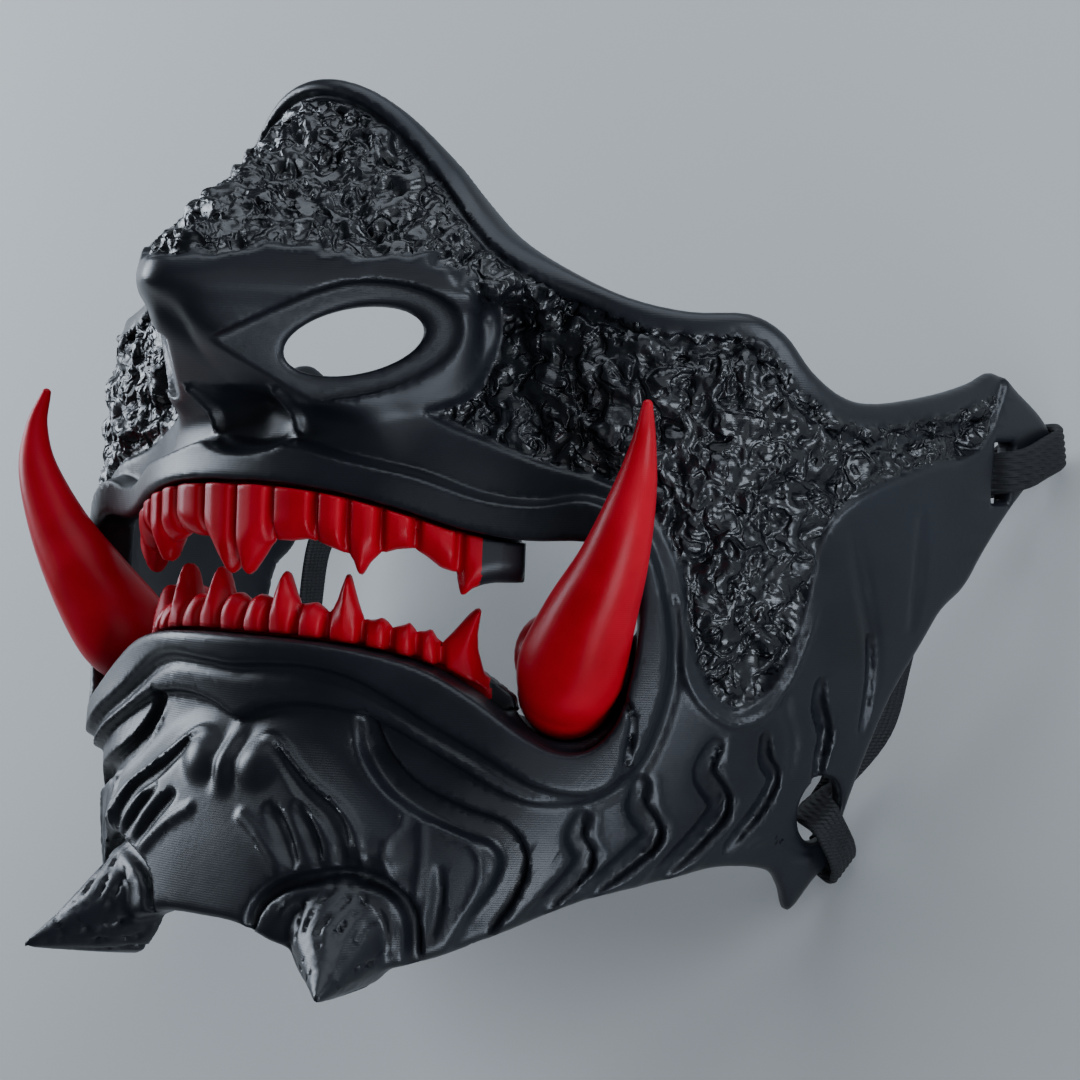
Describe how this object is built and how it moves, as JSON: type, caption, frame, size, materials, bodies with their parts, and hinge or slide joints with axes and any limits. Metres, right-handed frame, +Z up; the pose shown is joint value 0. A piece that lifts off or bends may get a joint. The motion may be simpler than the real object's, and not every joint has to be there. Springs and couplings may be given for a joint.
{
  "type": "oni half mask",
  "caption": "Hollow half mask of a snarling oni: nose, fanged mouth and horned chin in black, red teeth and tusks, elastic straps. It lies face up.",
  "frame": {"origin": "centre of the bounding box in X and Y, on the floor that the mask lies on", "axes": "+Z up out of the face as it lies, +X to the wearer's left, +Y towards the top edge of the mask; the chin points to -Y"},
  "size_m": [0.1638, 0.1358, 0.1286],
  "materials": {
    "mask_black": "satin black printed plastic",
    "tooth_red": "satin red printed plastic",
    "strap_black": "ribbed black elastic"
  },
  "bodies": {
    "root": {"mask_shell": "mask_black", "upper_teeth": "tooth_red", "lower_teeth": "tooth_red", "tusk_left": "tooth_red", "tusk_right": "tooth_red", "strap_left": "strap_black", "strap_right": "strap_black"}
  },
  "joints": []
}
